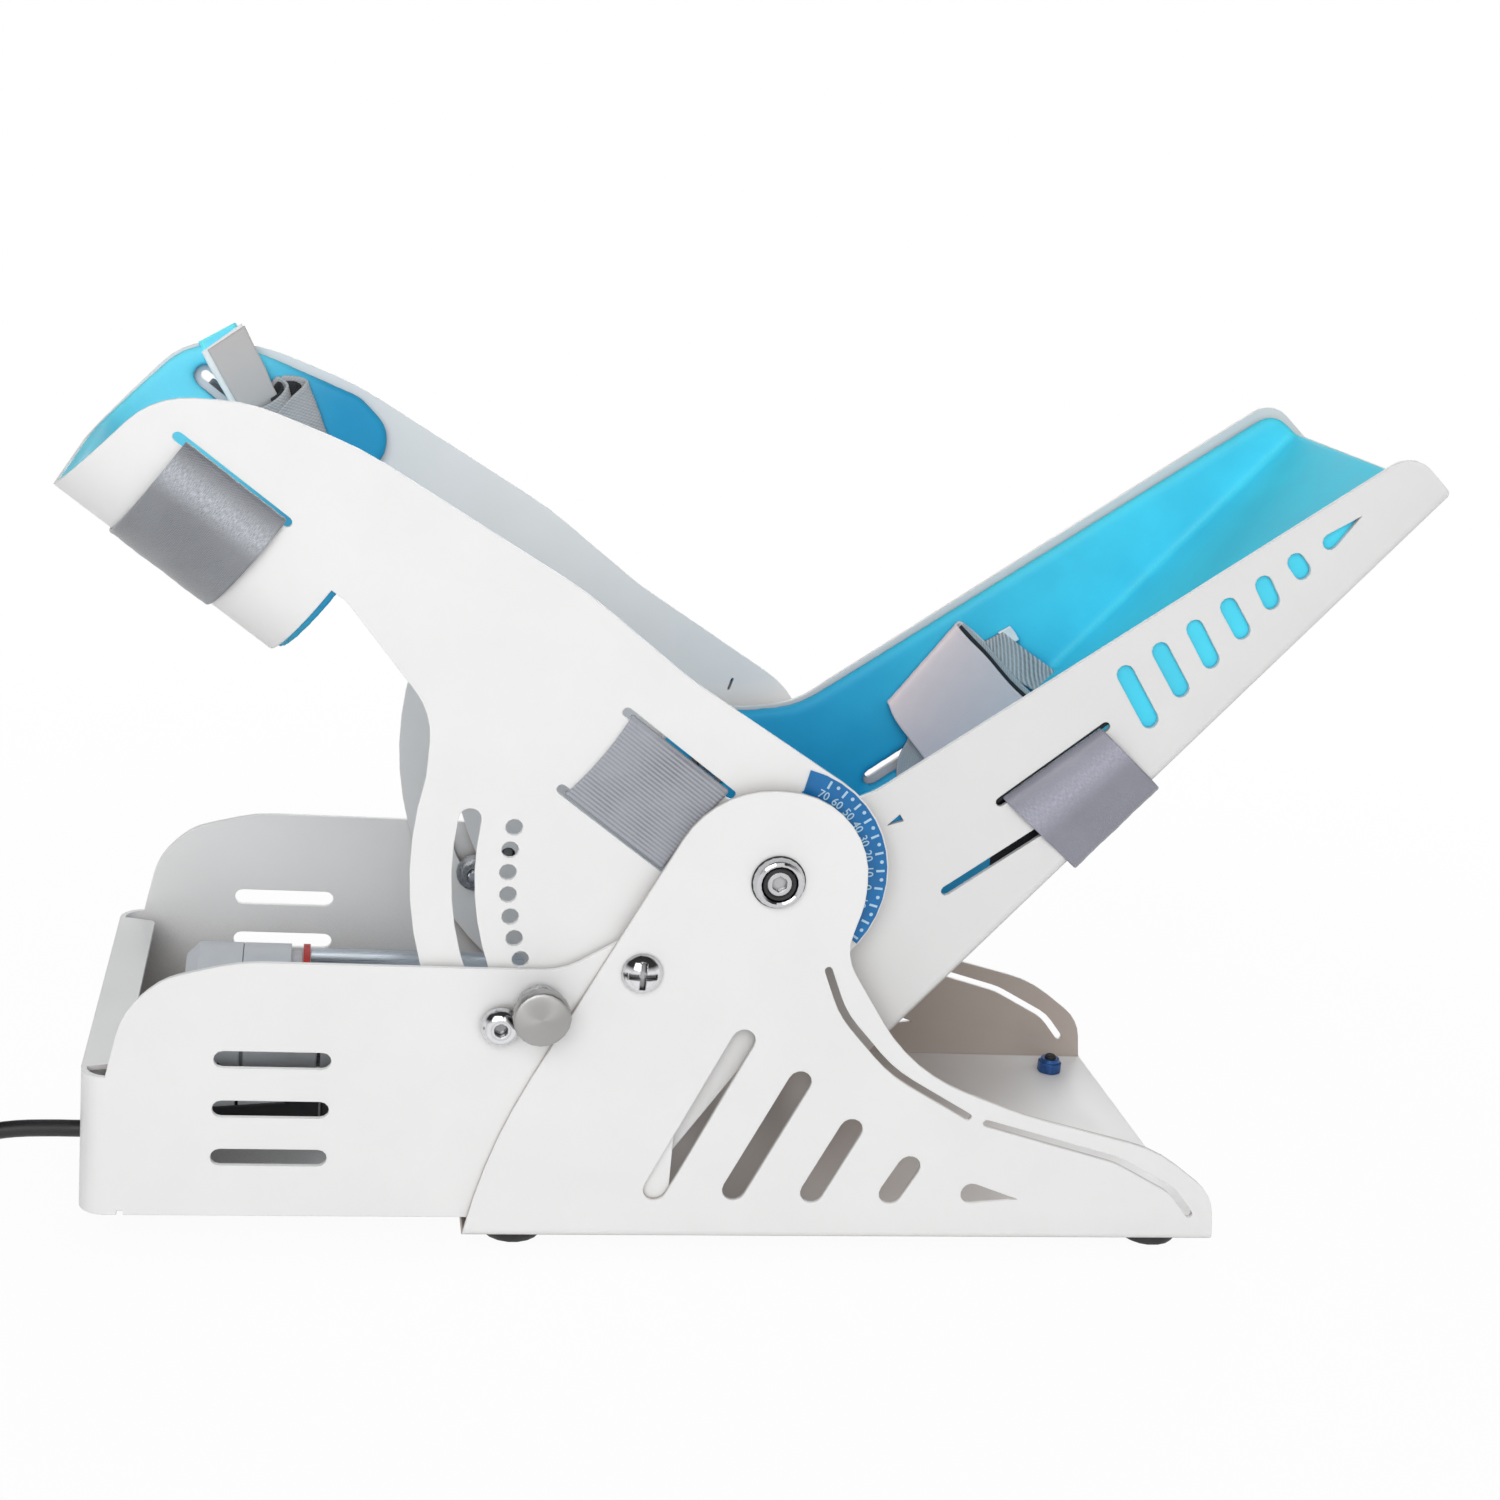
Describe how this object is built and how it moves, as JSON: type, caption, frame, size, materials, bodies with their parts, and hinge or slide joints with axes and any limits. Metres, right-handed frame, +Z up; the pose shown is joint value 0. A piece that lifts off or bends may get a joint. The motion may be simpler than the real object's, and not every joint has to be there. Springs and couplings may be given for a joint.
{
  "type": "ankle exerciser",
  "caption": "Motorised ankle exerciser: a folded steel base carries a foam-lined calf trough and a strapped foot plate that share one axle, with an angle dial",
  "frame": {"origin": "middle of the base channel's underside, which the rubber feet hold 8 mm above the floor", "axes": "+X towards the toes, +Z up, -Y the side with the viewer"},
  "size_m": [0.6706, 0.2567, 0.3352],
  "materials": {
    "white_coat": "satin powder coat",
    "chrome": "polished",
    "steel": "bright zinc",
    "black_rubber": "matte",
    "black_plastic": "satin",
    "blue_nut": "anodised blue",
    "blue_foam": "closed-cell foam",
    "blue_scale": "printed film",
    "grey_web": "satin webbing",
    "grey_elastic": "ribbed elastic",
    "drive_plastic": "satin",
    "drive_tube": "brushed",
    "red_ring": "matte",
    "cord_black": "matte"
  },
  "bodies": {
    "base": {"base_channel": "white_coat", "rear_housing": "white_coat", "rubber_foot_rear_near": "black_rubber", "foot_nut_rear_near": "blue_nut", "rubber_foot_rear_far": "black_rubber", "foot_nut_rear_far": "blue_nut", "rubber_foot_front_near": "black_rubber", "foot_nut_front_near": "blue_nut", "rubber_foot_front_far": "black_rubber", "foot_nut_front_far": "blue_nut", "axle_bolt_near": "chrome", "axle_bush_near": "steel", "axle_spacer_near": "steel", "axle_nut_near": "steel", "guide_bolt_near": "chrome", "guide_nut_near": "steel", "housing_screw_near": "chrome", "plunger_body_near": "steel", "axle_bolt_far": "chrome", "axle_bush_far": "steel", "axle_spacer_far": "steel", "axle_nut_far": "steel", "guide_bolt_far": "chrome", "guide_nut_far": "steel", "housing_screw_far": "chrome", "plunger_body_far": "steel", "drive_end_cap": "drive_plastic", "drive_gear_case": "drive_plastic", "drive_gasket": "red_ring", "drive_tube": "drive_tube", "drive_saddle_rear": "black_plastic", "drive_saddle_front": "black_plastic", "controller_box": "black_plastic", "cord_gland": "black_rubber", "cord_lead": "cord_black", "cord_coil": "cord_black", "cord_tie": "black_plastic", "cord_plug": "black_plastic"},
    "calf": {"calf_bracket": "white_coat", "calf_pad": "blue_foam", "angle_scale_near": "blue_scale", "angle_scale_far": "blue_scale", "calf_strap": "grey_web", "calf_strap_roll": "grey_web", "leg_strap_near": "grey_elastic", "leg_strap_far": "grey_elastic"},
    "foot": {"foot_bracket": "white_coat", "foot_pad": "blue_foam", "foot_strap": "grey_web", "foot_strap_loop": "grey_web", "drive_lever": "steel", "drive_pin": "steel"},
    "rod": {"drive_rod": "steel"},
    "plunger_near": {"plunger_knob_near": "steel"},
    "plunger_far": {"plunger_knob_far": "steel"}
  },
  "joints": [
    {"name": "foot_hinge", "type": "hinge", "parent": "base", "child": "foot", "pos_m": [-0.04256, 0, 0.14667], "axis": [0, 1, 0], "range_deg": [-30, 30]},
    {"name": "rod_slide", "type": "slide", "parent": "base", "child": "rod", "axis": [-1, 0, 0], "range_m": [-0.0508, 0.0508]},
    {"name": "calf_hinge", "type": "hinge", "parent": "base", "child": "calf", "pos_m": [-0.04256, 0, 0.14667], "axis": [0, -1, 0], "range_deg": [0, 40]},
    {"name": "plunger_pull_near", "type": "slide", "parent": "base", "child": "plunger_near", "axis": [0, -1, 0], "range_m": [-0.0038, 0]},
    {"name": "plunger_pull_far", "type": "slide", "parent": "base", "child": "plunger_far", "axis": [0, 1, 0], "range_m": [-0.0038, 0]}
  ],
  "couplings": [
    {"joint": "rod_slide", "follows": "foot_hinge", "m_per_rad": 0.09686}
  ]
}
